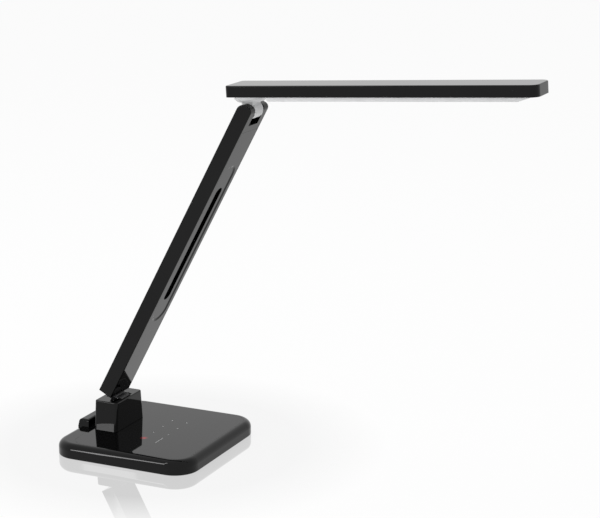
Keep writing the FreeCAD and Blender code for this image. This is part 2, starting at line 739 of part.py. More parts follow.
def make_turret_block():
    body = new_body("turret_block")
    foot_x = dim.turret_foot_width / 2
    top_x = dim.turret_top_width / 2
    foot_y = dim.turret_foot_depth / 2
    top_y = dim.turret_top_depth / 2
    wedge(body, "block", (-foot_x, turret_y - foot_y, turret_foot),
          (foot_x, turret_y + foot_y, turret_top),
          (-top_x, turret_y - top_y), (top_x, turret_y + top_y))
    round_edges(body, "corners", dim.turret_corner, lambda edge: runs_along(edge, "z"))
    round_edges(body, "top_edge", dim.turret_edge, lambda edge: lies_at(edge, "z", turret_top))
    half_slot = dim.barrel_width / 2 + dim.hinge_washer_thickness + dim.fit_gap
    cut_box(body, "slot", (-half_slot, pivot_y - dim.barrel_radius - dim.slot_gap, slot_floor),
            (half_slot, pivot_y + dim.slot_rear, turret_top + dim.overrun))
    cut_cylinder(body, "pin_bore", dim.pivot_radius + dim.bore_gap,
                 (-dim.pivot_reach, pivot_y, pivot_z), dim.pivot_reach + foot_x, "x")
    cut_cylinder(body, "cap_bore", dim.cap_radius + dim.bore_gap, (cap_inner, pivot_y, pivot_z),
                 foot_x, "x")
    cut_cylinder(body, "post_bore", dim.post_head_radius + dim.bore_gap,
                 (ZERO, turret_y, turret_foot - dim.overrun), dim.post_head_height + dim.overrun)
    cut_cylinder(body, "wire_bore", dim.post_bore, (ZERO, turret_y, post_top - dim.overrun),
                 slot_floor - post_top + dim.overrun * 2)
    return keep(body)


def make_swivel_post():
    body = new_body("swivel_post")
    cylinder(body, "head", dim.post_head_radius, (ZERO, turret_y, turret_foot), dim.post_head_height)
    cylinder(body, "stem", dim.post_radius, (ZERO, turret_y, dim.post_foot),
             turret_foot - dim.post_foot)
    cut_cylinder(body, "bore", dim.post_bore, (ZERO, turret_y, dim.post_foot - dim.overrun),
                 post_top - dim.post_foot + dim.overrun * 2)
    return keep(body)


def make_swivel_washer():
    return keep(ring("swivel_washer", dim.post_radius + dim.bore_gap, dim.bush_flange_radius,
                     nut_top, dim.swivel_washer_thickness, ZERO, turret_y))


def make_swivel_nut():
    body = new_body("swivel_nut")
    outline = sketch_on(body, "outline", "XY_Plane", nut_top - dim.swivel_nut_thickness)
    turn = FULL_TURN / NUT_SIDES
    reach = dim.swivel_nut_flats / (cosine(as_size(turn / 2)) * 2)
    corners = [as_size(turn * number) for number in range(NUT_SIDES)]
    draw_outline(outline, [(reach * cosine(a), turret_y + reach * sine(a)) for a in corners])
    pad(body, "hexagon", outline, dim.swivel_nut_thickness)
    cut_cylinder(body, "bore", dim.post_radius + dim.bore_gap,
                 (ZERO, turret_y, nut_top - dim.swivel_nut_thickness - dim.overrun),
                 dim.swivel_nut_thickness + dim.overrun * 2)
    return keep(body)


def make_arm_pivot_pin():
    return rod("arm_pivot_pin", dim.pivot_radius, (-dim.pivot_reach, pivot_y, pivot_z),
               dim.pivot_reach + cap_inner, "x")


def make_pivot_cap():
    return rod("pivot_cap", dim.cap_radius, (cap_inner, pivot_y, pivot_z),
               dim.cap_thickness, "x")


# Arm, in its own frame: the hinge axis is the origin, Z runs along the arm, -Y is its front face.
arm_half = dim.arm_width / 2
arm_back = arm_front + dim.arm_thickness
cover_back = arm_front + dim.arm_wall
cavity_half = arm_half - dim.arm_wall
cavity_back = arm_back - dim.arm_wall
cavity_start = arm_start + dim.arm_end_wall
arm_end = dim.arm_reach + dim.arm_thickness / 2
fork_floor = dim.arm_reach - dim.fork_depth
cavity_end = fork_floor - dim.fork_root
spine_front = cavity_back - dim.spine_thickness
insert_front = cover_back + dim.fit_gap
insert_end = arm_start + dim.insert_length
barrel_half = dim.barrel_width / 2
recess_end = dim.arm_reach - dim.recess_end_inset
groove_start = dim.recess_start + dim.groove_inset
groove_end = recess_end - dim.groove_inset
hinge_screw_places = [dim.hinge_screw_first, dim.hinge_screw_first + dim.hinge_screw_spacing]


def make_arm_shell():
    body = new_body("arm_shell")
    box(body, "bar", (-arm_half, arm_front, arm_start), (arm_half, arm_back, arm_end))
    round_edges(body, "front_end", dim.fork_corner,
                lambda edge: lies_at(edge, "z", arm_end) and lies_at(edge, "y", arm_front))
    round_edges(body, "back_end", dim.arm_thickness / 2,
                lambda edge: lies_at(edge, "z", arm_end) and lies_at(edge, "y", arm_back))
    round_edges(body, "long_edges", dim.arm_edge,
                lambda edge: lies_at(edge, "x", arm_half) or lies_at(edge, "x", -arm_half))
    fork_half = dim.fork_width / 2
    cut_box(body, "fork_slot", (-fork_half, arm_front - dim.overrun, fork_floor),
            (fork_half, arm_back + dim.overrun, dim.arm_reach + dim.arm_thickness))
    cut_box(body, "cavity", (-cavity_half, arm_front - dim.overrun, cavity_start),
            (cavity_half, cavity_back, cavity_end))
    cut_box(body, "hinge_door",
            (-barrel_half - dim.seat_gap, insert_front - dim.seat_gap, arm_start - dim.overrun),
            (barrel_half + dim.seat_gap, spine_front + dim.seat_gap, cavity_start + dim.overrun))
    cut_cylinder(body, "pin_bore", dim.tilt_pin_radius + dim.bore_gap,
                 (-dim.tilt_pin_reach, fork_axis_offset, dim.arm_reach),
                 dim.tilt_pin_reach + dim.arm_width, "x")
    return keep(body, "arm")


def make_arm_cover():
    body = new_body("arm_cover")
    half = cavity_half - dim.seat_gap
    trough_half = dim.groove_width / 2 + dim.groove_wall
    box(body, "plate", (-half, arm_front, cavity_start + dim.seat_gap),
        (half, cover_back, cavity_end - dim.seat_gap))
    trough_back = arm_front + dim.groove_depth + dim.groove_wall
    box(body, "trough", (-trough_half, cover_back, groove_start - dim.groove_wall),
        (trough_half, trough_back, groove_end + dim.groove_wall))
    rim = sketch_on(body, "recess_rim", "XZ_Plane", -arm_front)
    draw_slot(rim, dim.recess_width / 2, dim.recess_start, recess_end)
    floor = sketch_on(body, "recess_floor", "XZ_Plane", -arm_front - dim.recess_depth)
    draw_slot(floor, dim.recess_width / 2 - dim.recess_slope, dim.recess_start + dim.recess_slope,
              recess_end - dim.recess_slope)
    recess = feature(body, "SubtractiveLoft", "recess")
    recess.Profile = rim
    recess.Sections = [floor]
    recess.Ruled = True
    groove = sketch_on(body, "groove_outline", "XZ_Plane", -arm_front)
    draw_slot(groove, dim.groove_width / 2, groove_start, groove_end)
    pocket(body, "groove", groove, dim.groove_depth)
    return keep(body, "arm")


def make_arm_spine():
    body = new_body("arm_spine")
    half = dim.spine_width / 2
    box(body, "strip", (-half, spine_front, cavity_start), (half, cavity_back, cavity_end))
    for number, place in enumerate(hinge_screw_places):
        cut_cylinder(body, f"screw_{number}", dim.hinge_screw_radius + dim.bore_gap,
                     (ZERO, spine_front - dim.overrun, place), dim.spine_thickness + dim.overrun * 2, "y")
    return keep(body, "arm")


def make_arm_hinge():
    body = new_body("arm_hinge")
    web = sketch_on(body, "web", "YZ_Plane")
    heel = dim.slot_rear - dim.fit_gap
    foot = arm_start + dim.seat_gap
    draw_outline(web, [
        (ZERO, ZERO),
        [dim.barrel_radius * share for share in WEB_REAR_SHARES],
        (heel, dim.barrel_radius * WEB_HEEL_SHARE),
        (heel, foot),
        (spine_front, foot),
        (spine_front, insert_end),
        (insert_front, insert_end),
        (insert_front, arm_start - dim.seat_gap),
        [dim.barrel_radius * share for share in WEB_FRONT_SHARES],
    ])
    pad(body, "web_pad", web, dim.barrel_width, both_ways=True)
    cylinder(body, "barrel", dim.barrel_radius, (-barrel_half, ZERO, ZERO), dim.barrel_width, "x")
    cut_cylinder(body, "pin_bore", dim.pivot_radius + dim.bore_gap,
                 (-barrel_half - dim.overrun, ZERO, ZERO), dim.barrel_width + dim.overrun * 2, "x")
    for number, place in enumerate(hinge_screw_places):
        cut_cylinder(body, f"screw_{number}", dim.hinge_screw_radius + dim.bore_gap,
                     (ZERO, insert_front - dim.overrun, place), dim.arm_thickness, "y")
        cut_cylinder(body, f"screw_head_{number}", dim.hinge_screw_head_radius + dim.bore_gap,
                     (ZERO, insert_front - dim.overrun, place),
                     dim.overrun + dim.hinge_screw_head_height, "y")
    return keep(body, "arm")


def make_arm_screws():
    length = cavity_back - insert_front - dim.hinge_screw_head_height
    members = [
        loose_screw(f"arm_screw_{number}", dim.hinge_screw_head_radius, dim.hinge_screw_head_height,
                    dim.hinge_screw_radius, length, (ZERO, insert_front, place), "y")
        for number, place in enumerate(hinge_screw_places)
    ]
    return group("arm_screws", members, "arm")


def paired_washers(label, bore, radius, thickness, inner_face, place):
    """Two washers left and right of a barrel that lies across the arm."""
    members = []
    for name, start in (("left", -inner_face - thickness), ("right", inner_face)):
        rim = loose_cylinder(f"{label}_{name}_rim", radius, (start, *place), thickness, "x")
        hole = loose_cylinder(f"{label}_{name}_hole", bore, (start - dim.overrun, *place),
                              thickness + dim.overrun * 2, "x")
        washer = doc.addObject("Part::Cut", f"{label}_{name}")
        washer.Base = rim
        washer.Tool = hole
        members.append(washer)
    return group(label, members, "arm")


def make_hinge_washers():
    return paired_washers("hinge_washers", dim.pivot_radius + dim.bore_gap, dim.hinge_washer_radius,
                          dim.hinge_washer_thickness, barrel_half, (ZERO, ZERO))


def make_arm_cable():
    x = cavity_half - dim.cable_radius - dim.fit_gap
    y = cavity_back - dim.cable_radius - dim.fit_gap
    return rod("arm_cable", dim.cable_radius, (x, y, insert_end),
               cavity_end - insert_end - dim.seat_gap, "z", "arm")


def make_tilt_pin():
    return rod("tilt_pin", dim.tilt_pin_radius,
               (-dim.tilt_pin_reach, fork_axis_offset, dim.arm_reach),
               dim.tilt_pin_reach + arm_half - dim.fit_gap, "x", "arm")


def make_tilt_washers():
    inner_face = dim.fork_width / 2 - dim.tilt_washer_thickness
    return paired_washers("tilt_washers", dim.tilt_pin_radius + dim.bore_gap, dim.tilt_washer_radius,
                          dim.tilt_washer_thickness, inner_face, (fork_axis_offset, dim.arm_reach))


# Knuckle and head, in their own frame: the fork axis is the origin, -Y runs to the tip of the head.
knuckle_width = dim.fork_width - (dim.tilt_washer_thickness + dim.seat_gap) * 2
fork_sweep = (dim.arm_thickness / 2 - dim.fork_corner) * DIAGONAL_SHARE + dim.fork_corner
disc_base = fork_sweep + dim.fit_gap
disc_top = disc_base + dim.disc_thickness
head_base = disc_top + dim.fit_gap
plate_front = dim.disc_radius + dim.plate_lip
plate_top = head_base + dim.plate_thickness
head_washer_low = plate_top + dim.bore_gap
head_clip_low = head_washer_low + dim.head_washer_thickness
head_post_top = head_clip_low + dim.head_clip_thickness
head_half = dim.head_width / 2
head_top = head_base + dim.head_thickness
head_ceiling = head_top - dim.head_wall
head_inner = head_half - dim.head_wall
head_boss_places = [
    (side * dim.head_boss_x, y)
    for side in (as_size(-1), as_size(1))
    for y in (dim.head_boss_rear, -dim.head_boss_front)
]
light_rear = -plate_front - dim.seat_gap
light_front = -dim.head_front + dim.head_tip_wall + dim.seat_gap
diffuser_top = head_base + dim.diffuser_flange
spreader_low = head_ceiling - dim.spreader_thickness
led_board_low = spreader_low - dim.board_thickness
light_half = head_inner - dim.seat_gap


def make_tilt_knuckle():
    body = new_body("tilt_knuckle")
    half = knuckle_width / 2
    cylinder(body, "barrel", dim.knuckle_radius, (-half, ZERO, ZERO), knuckle_width, "x")
    box(body, "neck", (-half, -dim.neck_depth / 2, ZERO), (half, dim.neck_depth / 2, disc_base))
    cylinder(body, "disc", dim.disc_radius, (ZERO, ZERO, disc_base), disc_top - disc_base)
    rim_length = dim.disc_radius.value * math.pi
    round_edges(body, "disc_bevel", dim.disc_edge,
                lambda edge: lies_at(edge, "z", disc_base) and edge.Length > rim_length,
                "Chamfer", "Size")
    cylinder(body, "post", dim.head_post_radius, (ZERO, ZERO, disc_top), head_post_top - disc_top)
    cut_cylinder(body, "pin_bore", dim.tilt_pin_radius + dim.bore_gap,
                 (-half - dim.overrun, ZERO, ZERO), knuckle_width + dim.overrun * 2, "x")
    return keep(body, "head")


def make_head_washer():
    return keep(ring("head_washer", dim.head_post_radius + dim.bore_gap, dim.head_washer_radius,
                     head_washer_low, dim.head_washer_thickness), "head")


def make_head_clip():
    return keep(ring("head_clip", dim.head_post_radius + dim.bore_gap, dim.head_clip_radius,
                     head_clip_low, dim.head_clip_thickness), "head")


def make_head_shell():
    body = new_body("head_shell")
    box(body, "block", (-head_half, -dim.head_front, head_base), (head_half, dim.head_rear, head_top))
    round_edges(body, "tip_corners", dim.head_corner,
                lambda edge: runs_along(edge, "z") and lies_at(edge, "y", -dim.head_front))
    round_edges(body, "rear_corners", dim.head_rear_corner,
                lambda edge: runs_along(edge, "z") and lies_at(edge, "y", dim.head_rear))
    round_edges(body, "top_edge", dim.head_edge, lambda edge: lies_at(edge, "z", head_top))
    cut_box(body, "hollow",
            (-head_inner, -dim.head_front + dim.head_tip_wall, head_base - dim.overrun),
            (head_inner, dim.head_rear - dim.head_wall, head_ceiling))
    for number, (x, y) in enumerate(head_boss_places):
        cylinder(body, f"boss_{number}", dim.head_boss_radius, (x, y, plate_top),
                 head_ceiling + dim.head_wall / 2 - plate_top)
        cut_cylinder(body, f"boss_bore_{number}", dim.head_screw_radius + dim.bore_gap,
                     (x, y, plate_top - dim.overrun), dim.head_screw_length + dim.overrun)
    return keep(body, "head")


def make_swivel_plate():
    body = new_body("swivel_plate")
    x = head_inner - dim.seat_gap
    box(body, "plate", (-x, -plate_front, head_base),
        (x, dim.head_rear - dim.head_wall - dim.seat_gap, plate_top))
    cut_cylinder(body, "post_bore", dim.head_post_radius + dim.bore_gap,
                 (ZERO, ZERO, head_base - dim.overrun), dim.plate_thickness + dim.overrun * 2)
    for number, (boss_x, boss_y) in enumerate(head_boss_places):
        low = head_base - dim.overrun
        cut_cylinder(body, f"screw_{number}", dim.head_screw_radius + dim.bore_gap,
                     (boss_x, boss_y, low), dim.plate_thickness + dim.overrun * 2)
        cut_cylinder(body, f"screw_head_{number}", dim.head_screw_head_radius + dim.bore_gap,
                     (boss_x, boss_y, low), dim.overrun + dim.head_screw_head_height)
    return keep(body, "head")


def make_diffuser():
    body = new_body("diffuser")
    side = sketch_on(body, "side", "YZ_Plane")
    low = head_base - dim.diffuser_drop
    draw_outline(side, [
        (light_rear, diffuser_top),
        (light_rear, head_base),
        (light_rear - dim.diffuser_rear_slope, low),
        (light_front + dim.diffuser_front_slope, low),
        (light_front, head_base),
        (light_front, diffuser_top),
    ])
    pad(body, "plate", side, light_half * 2, both_ways=True)
    round_edges(body, "lower_edges", dim.diffuser_edge,
                lambda edge: lies_at(edge, "z", low) and runs_along(edge, "y"))
    hollow_half = light_half - dim.diffuser_wall
    cut_box(body, "hollow",
            (-hollow_half, light_front + dim.diffuser_front_slope, low + dim.diffuser_wall),
            (hollow_half, light_rear - dim.diffuser_rear_slope, diffuser_top + dim.overrun))
    return keep(body, "head")


def make_reflector_frame():
    body = new_body("reflector_frame")
    box(body, "frame", (-light_half, light_front, diffuser_top),
        (light_half, light_rear, led_board_low))
    wall = dim.reflector_wall
    cut_box(body, "window", (-light_half + wall, light_front + wall, diffuser_top - dim.overrun),
            (light_half - wall, light_rear - wall, led_board_low + dim.overrun))
    return keep(body, "head")


def make_led_board():
    return keep(rounded_plate("led_board", (-light_half, light_front), (light_half, light_rear),
                              dim.board_corner, led_board_low, dim.board_thickness), "head")


def make_heat_spreader():
    return keep(rounded_plate("heat_spreader", (-light_half, light_front), (light_half, light_rear),
                              dim.board_corner, spreader_low, dim.spreader_thickness), "head")


def make_leds():
    stretch = (light_rear - light_front - dim.led_spacing).value
    count = int(stretch // dim.led_spacing.value) + 1
    members = []
    for side in LED_ROWS:
        for number in range(count):
            x = dim.led_row_offset * side
            y = light_rear - dim.led_spacing * (number + 0.5)
            low = (x - dim.led_width / 2, y - dim.led_length / 2, led_board_low - dim.led_height)
            high = (x + dim.led_width / 2, y + dim.led_length / 2, led_board_low)
            members.append(loose_box(f"led_{side + 1}_{number}", low, high))
    return group("leds", members, "head")


def make_head_screws():
    members = [
        loose_screw(f"head_screw_{number}", dim.head_screw_head_radius, dim.head_screw_head_height,
                    dim.head_screw_radius, dim.head_screw_length, (x, y, head_base))
        for number, (x, y) in enumerate(head_boss_places)
    ]
    return group("head_screws", members, "head")


make_base_shell()
make_touch_panel()
make_bottom_cover()
make_foot_pad()
make_ballast_plate()
make_control_board()
make_indicator_lights()
make_base_screws()
make_port_housing()
make_dc_jack()
make_dc_pin()
make_swivel_bush()

make_turret_block()
make_swivel_post()
make_swivel_washer()
make_swivel_nut()
make_arm_pivot_pin()
make_pivot_cap()

make_arm_shell()
make_arm_cover()
make_arm_spine()
make_arm_hinge()
make_arm_screws()
make_hinge_washers()
make_arm_cable()
make_tilt_pin()
make_tilt_washers()

make_tilt_knuckle()
make_head_washer()
make_head_clip()

make_head_shell()
make_swivel_plate()
make_diffuser()
make_reflector_frame()
make_led_board()
make_heat_spreader()
make_leds()
make_head_screws()

doc.recompute()
for item in doc.Objects:
    if "Invalid" in item.State or "Error" in item.State:
        raise RuntimeError(f"{item.Name} failed: {item.State}")
for item in finished:
    if item.Shape.isNull() or not item.Shape.isValid():
        raise RuntimeError(f"{item.Label} has no valid shape")

os.makedirs("parts", exist_ok=True)
for item in finished:
    item.Shape.exportStep(f"parts/{item.Label}.step")
    print(item.Label, len(item.Shape.Solids), "solids", round(item.Shape.Volume, 1), "mm3")
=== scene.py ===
import json
import math
import bmesh
import bpy
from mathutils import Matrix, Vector


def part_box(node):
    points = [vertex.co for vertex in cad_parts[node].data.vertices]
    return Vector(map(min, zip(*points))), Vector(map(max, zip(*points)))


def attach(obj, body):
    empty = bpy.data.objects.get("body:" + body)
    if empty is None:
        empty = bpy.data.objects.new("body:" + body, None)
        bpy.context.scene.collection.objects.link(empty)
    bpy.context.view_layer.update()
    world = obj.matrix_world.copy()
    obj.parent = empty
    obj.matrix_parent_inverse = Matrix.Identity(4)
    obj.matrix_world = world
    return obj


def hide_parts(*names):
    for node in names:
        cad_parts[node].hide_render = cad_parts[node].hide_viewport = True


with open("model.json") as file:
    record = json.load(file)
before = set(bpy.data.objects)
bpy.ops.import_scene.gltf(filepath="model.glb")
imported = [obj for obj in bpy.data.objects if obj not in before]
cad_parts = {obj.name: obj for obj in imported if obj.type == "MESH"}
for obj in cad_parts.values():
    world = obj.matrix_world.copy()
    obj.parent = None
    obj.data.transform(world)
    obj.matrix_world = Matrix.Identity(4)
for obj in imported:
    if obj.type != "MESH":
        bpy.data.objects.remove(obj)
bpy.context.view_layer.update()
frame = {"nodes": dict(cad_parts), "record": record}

scene = bpy.context.scene
nodes = frame["nodes"]


# an input takes a plain value or another node's output
def fill(tree, socket, value):
    if isinstance(value, bpy.types.NodeSocket):
        tree.links.new(value, socket)
    else:
        socket.default_value = value


def addNode(tree, kind, **settings):
    node = tree.nodes.new(kind)
    for name, value in settings.items():
        if name in node.inputs:
            fill(tree, node.inputs[name], value)
        else:
            setattr(node, name, value)
    return node


def mathNode(tree, operation, first, second, kind="ShaderNodeMath"):
    node = addNode(tree, kind, operation=operation)
    fill(tree, node.inputs[0], first)
    fill(tree, node.inputs[1], second)
    return node.outputs["Value"]


def vectorNode(tree, operation, first, second):
    return mathNode(tree, operation, first, second, "ShaderNodeVectorMath")


# takes a value from one span to another and holds it at the ends
def spread(tree, value, start, end, startLevel, endLevel, curve="LINEAR"):
    node = addNode(tree, "ShaderNodeMapRange", interpolation_type=curve, Value=value)
    ends = {"From Min": start, "From Max": end, "To Min": startLevel, "To Max": endLevel}
    for name, level in ends.items():
        fill(tree, node.inputs[name], level)
    return node.outputs["Result"]


def startMaterial(name):
    material = bpy.data.materials.new(name)
    material.use_nodes = True
    tree = material.node_tree
    return material, tree, tree.nodes["Principled BSDF"]


# most of the noise lies between low and high, so the finishes are spread over that span
noiseLook = {"low": 0.3, "high": 0.7, "broadDetail": 3.0, "fineDetail": 4.0}
evenStretch = (1, 1, 1)
plainShine = 0.5  # the usual strength of a plastic's gloss


# broad noise sets the colour, fine noise the roughness and a slight bump, all on Object coordinates
def surfaceFinish(name, look):
    material, tree, shader = startMaterial(name)
    coords = addNode(tree, "ShaderNodeTexCoord").outputs["Object"]
    mapping = addNode(tree, "ShaderNodeMapping", Vector=coords, Scale=look.get("stretch", evenStretch))
    place = mapping.outputs["Vector"]
    broad = addNode(tree, "ShaderNodeTexNoise", Vector=place, Scale=look["broadScale"],
                    Detail=noiseLook["broadDetail"]).outputs["Fac"]
    fine = addNode(tree, "ShaderNodeTexNoise", Vector=place, Scale=look["fineScale"],
                   Detail=noiseLook["fineDetail"]).outputs["Fac"]
    colours = addNode(tree, "ShaderNodeValToRGB", Fac=broad)
    darkStop, lightStop = colours.color_ramp.elements
    darkStop.position = noiseLook["low"]
    darkStop.color = (*look["dark"], 1)
    lightStop.position = noiseLook["high"]
    lightStop.color = (*look["light"], 1)
    rough = spread(tree, fine, noiseLook["low"], noiseLook["high"], look["roughLow"], look["roughHigh"])
    bump = addNode(tree, "ShaderNodeBump", Height=fine, Strength=look["bump"], Distance=look["bumpDepth"])
    fill(tree, shader.inputs["Base Color"], colours.outputs["Color"])
    fill(tree, shader.inputs["Roughness"], rough)
    fill(tree, shader.inputs["Normal"], bump.outputs["Normal"])
    fill(tree, shader.inputs["Metallic"], look.get("metal", 0.0))
    fill(tree, shader.inputs["Specular IOR Level"], look.get("shine", plainShine))
    return material


# noise scales are per metre and bump depths in metres; a stretch makes the noise finer along its axis
pianoBlackLook = {
    "dark": (0.0009, 0.0009, 0.001), "light": (0.0018, 0.0018, 0.002),
    "broadScale": 9.0, "fineScale": 240.0,
    "roughLow": 0.02, "roughHigh": 0.05, "bump": 0.008, "bumpDepth": 0.0002,
    "shine": 0.2,  # weak, so that the sides stay black in a white studio
}
silverGreyLook = {
    "dark": (0.63, 0.635, 0.64), "light": (0.71, 0.715, 0.72),
    "broadScale": 30.0, "fineScale": 900.0,
    "roughLow": 0.32, "roughHigh": 0.44, "bump": 0.04, "bumpDepth": 0.0002,
}
lightPlateLook = {
    "dark": (0.68, 0.683, 0.69), "light": (0.74, 0.743, 0.75),
    "broadScale": 40.0, "fineScale": 1200.0,
    "roughLow": 0.3, "roughHigh": 0.42, "bump": 0.015, "bumpDepth": 0.0002,
}
fineBlackLook = {
    "dark": (0.012, 0.012, 0.013), "light": (0.022, 0.022, 0.024),
    "broadScale": 30.0, "fineScale": 1500.0,
    "roughLow": 0.45, "roughHigh": 0.62, "bump": 0.25, "bumpDepth": 0.0003,
}
footPadLook = {
    "dark": (0.02, 0.02, 0.02), "light": (0.035, 0.035, 0.035),
    "broadScale": 60.0, "fineScale": 1100.0,
    "roughLow": 0.75, "roughHigh": 0.92, "bump": 0.5, "bumpDepth": 0.0004,
}
steelLook = {
    "dark": (0.52, 0.52, 0.54), "light": (0.66, 0.66, 0.68), "metal": 1.0,
    "broadScale": 40.0, "fineScale": 700.0, "stretch": (1, 1, 8),
    "roughLow": 0.22, "roughHigh": 0.4, "bump": 0.08, "bumpDepth": 0.0002,
}
brassLook = {
    "dark": (0.66, 0.48, 0.2), "light": (0.8, 0.62, 0.32), "metal": 1.0,
    "broadScale": 80.0, "fineScale": 900.0,
    "roughLow": 0.18, "roughHigh": 0.34, "bump": 0.05, "bumpDepth": 0.0002,
}
boardLook = {
    "dark": (0.03, 0.18, 0.08), "light": (0.06, 0.27, 0.13),
    "broadScale": 120.0, "fineScale": 600.0,
    "roughLow": 0.3, "roughHigh": 0.5, "bump": 0.15, "bumpDepth": 0.0003,
}
reflectorLook = {
    "dark": (0.82, 0.82, 0.8), "light": (0.9, 0.9, 0.88),
    "broadScale": 60.0, "fineScale": 900.0,
    "roughLow": 0.5, "roughHigh": 0.65, "bump": 0.1, "bumpDepth": 0.0002,
}
aluminiumLook = {
    "dark": (0.68, 0.69, 0.71), "light": (0.78, 0.79, 0.81), "metal": 1.0,
    "broadScale": 30.0, "fineScale": 500.0, "stretch": (6, 1, 1),
    "roughLow": 0.25, "roughHigh": 0.45, "bump": 0.1, "bumpDepth": 0.0002,
}

finishes = {
    "gloss_black": surfaceFinish("pianoBlack", pianoBlackLook),
    "panel_black": surfaceFinish("touchPanelBlack", pianoBlackLook),
    "silver_grey": surfaceFinish("silverGrey", silverGreyLook),
    "light_white": surfaceFinish("lightPlateWhite", lightPlateLook),
    "cover_black": surfaceFinish("fineBlack", fineBlackLook),
    "pad_black": surfaceFinish("footPadFoam", footPadLook),
    "cable_black": surfaceFinish("leadBlack", fineBlackLook),
    "steel": surfaceFinish("zincSteel", steelLook),
    "hinge_black": surfaceFinish("hingeBlack", fineBlackLook),
    "brass_pin": surfaceFinish("brassPin", brassLook),
    "board_green": surfaceFinish("boardGreen", boardLook),
    "reflector_white": surfaceFinish("reflectorWhite", reflectorLook),
    "spreader_aluminium": surfaceFinish("rolledAluminium", aluminiumLook),
}
for part in frame["record"]["subparts"]:
    nodes[part["node"]].data.materials[0] = finishes[part["material_slot"]]
print("finishes set on", len(nodes), "nodes")


# light pipes in rows and columns; a pipe is the hull of two chamfered ends, which its stretch holds apart
pipeInputs = {
    "Columns": "NodeSocketInt", "Rows": "NodeSocketInt",
    "ColumnStep": "NodeSocketFloat", "RowStep": "NodeSocketFloat", "FirstPlace": "NodeSocketVector",
    "Radius": "NodeSocketFloat", "Chamfer": "NodeSocketFloat", "Depth": "NodeSocketFloat",
    "RingPoints": "NodeSocketInt", "Stretch": "NodeSocketFloat", "Finish": "NodeSocketMaterial",
}
endShares = (-0.5, 0.5)  # each end lies half the stretch from the middle


def makePipeTree():
    tree = bpy.data.node_groups.new("lightPipes", "GeometryNodeTree")
    for name, kind in pipeInputs.items():
        tree.interface.new_socket(name, in_out="INPUT", socket_type=kind)
    tree.interface.new_socket("Geometry", in_out="OUTPUT", socket_type="NodeSocketGeometry")
    given = addNode(tree, "NodeGroupInput").outputs

    def along(axis, length):
        return addNode(tree, "ShaderNodeCombineXYZ", **{axis: length}).outputs["Vector"]

    def moved(shape, axis, length):
        move = addNode(tree, "GeometryNodeTransform", Geometry=shape, Translation=along(axis, length))
        return move.outputs["Geometry"]

    def repeated(points, shape):
        copies = addNode(tree, "GeometryNodeInstanceOnPoints", Points=points, Instance=shape)
        real = addNode(tree, "GeometryNodeRealizeInstances", Geometry=copies.outputs["Instances"])
        return real.outputs["Geometry"]

    narrow = mathNode(tree, "SUBTRACT", given["Radius"], given["Chamfer"])
    ringSizes = ((narrow, 0.0), (given["Radius"], given["Chamfer"]), (given["Radius"], given["Depth"]))
    rings = addNode(tree, "GeometryNodeJoinGeometry")
    for radius, drop in ringSizes:
        circle = addNode(tree, "GeometryNodeMeshCircle", Vertices=given["RingPoints"], Radius=radius)
        ring = moved(circle.outputs["Mesh"], "Z", mathNode(tree, "SUBTRACT", 0.0, drop))
        fill(tree, rings.inputs["Geometry"], ring)
    ends = addNode(tree, "GeometryNodeJoinGeometry")
    for share in endShares:
        end = moved(rings.outputs["Geometry"], "X", mathNode(tree, "MULTIPLY", given["Stretch"], share))
        fill(tree, ends.inputs["Geometry"], end)
    pipe = addNode(tree, "GeometryNodeConvexHull", Geometry=ends.outputs["Geometry"])
    columns = addNode(tree, "GeometryNodeMeshLine", Count=given["Columns"],
                      Offset=along("X", given["ColumnStep"]))
    rows = addNode(tree, "GeometryNodeMeshLine", Count=given["Rows"], Offset=along("Y", given["RowStep"]))
    fill(tree, rows.inputs["Start Location"], given["FirstPlace"])
    places = repeated(rows.outputs["Mesh"], columns.outputs["Mesh"])
    pipes = repeated(places, pipe.outputs["Convex Hull"])
    painted = addNode(tree, "GeometryNodeSetMaterial", Geometry=pipes, Material=given["Finish"])
    addNode(tree, "NodeGroupOutput", Geometry=painted.outputs["Geometry"])
    return tree


# the plain mesh that the tree grows for one set of sizes
def growPipes(tree, sizes, finish):
    holder = bpy.data.objects.new("pipeHolder", bpy.data.meshes.new("pipeHolder"))
    scene.collection.objects.link(holder)
    grower = holder.modifiers.new("pipes", "NODES")
    grower.node_group = tree
    values = dict(sizes, Finish=finish)
    for socket in tree.interface.items_tree:
        if socket.in_out == "INPUT":
            grower[socket.identifier] = values[socket.name]
    seen = holder.evaluated_get(bpy.context.evaluated_depsgraph_get())
    mesh = bpy.data.meshes.new_from_object(seen)
    bpy.data.objects.remove(holder)
    return mesh


# a piece of one or more grown meshes, riding on the base in place of the plain lights
def makeMarks(name, meshes, finish):
    joined = bmesh.new()
    for mesh in meshes:
        joined.from_mesh(mesh)
    whole = bpy.data.meshes.new(name)
    joined.to_mesh(whole)
    joined.free()
    whole.materials.append(finish)
    piece = bpy.data.objects.new(name, whole)
    scene.collection.objects.link(piece)
    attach(piece, "base")
    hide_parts("indicator_lights")


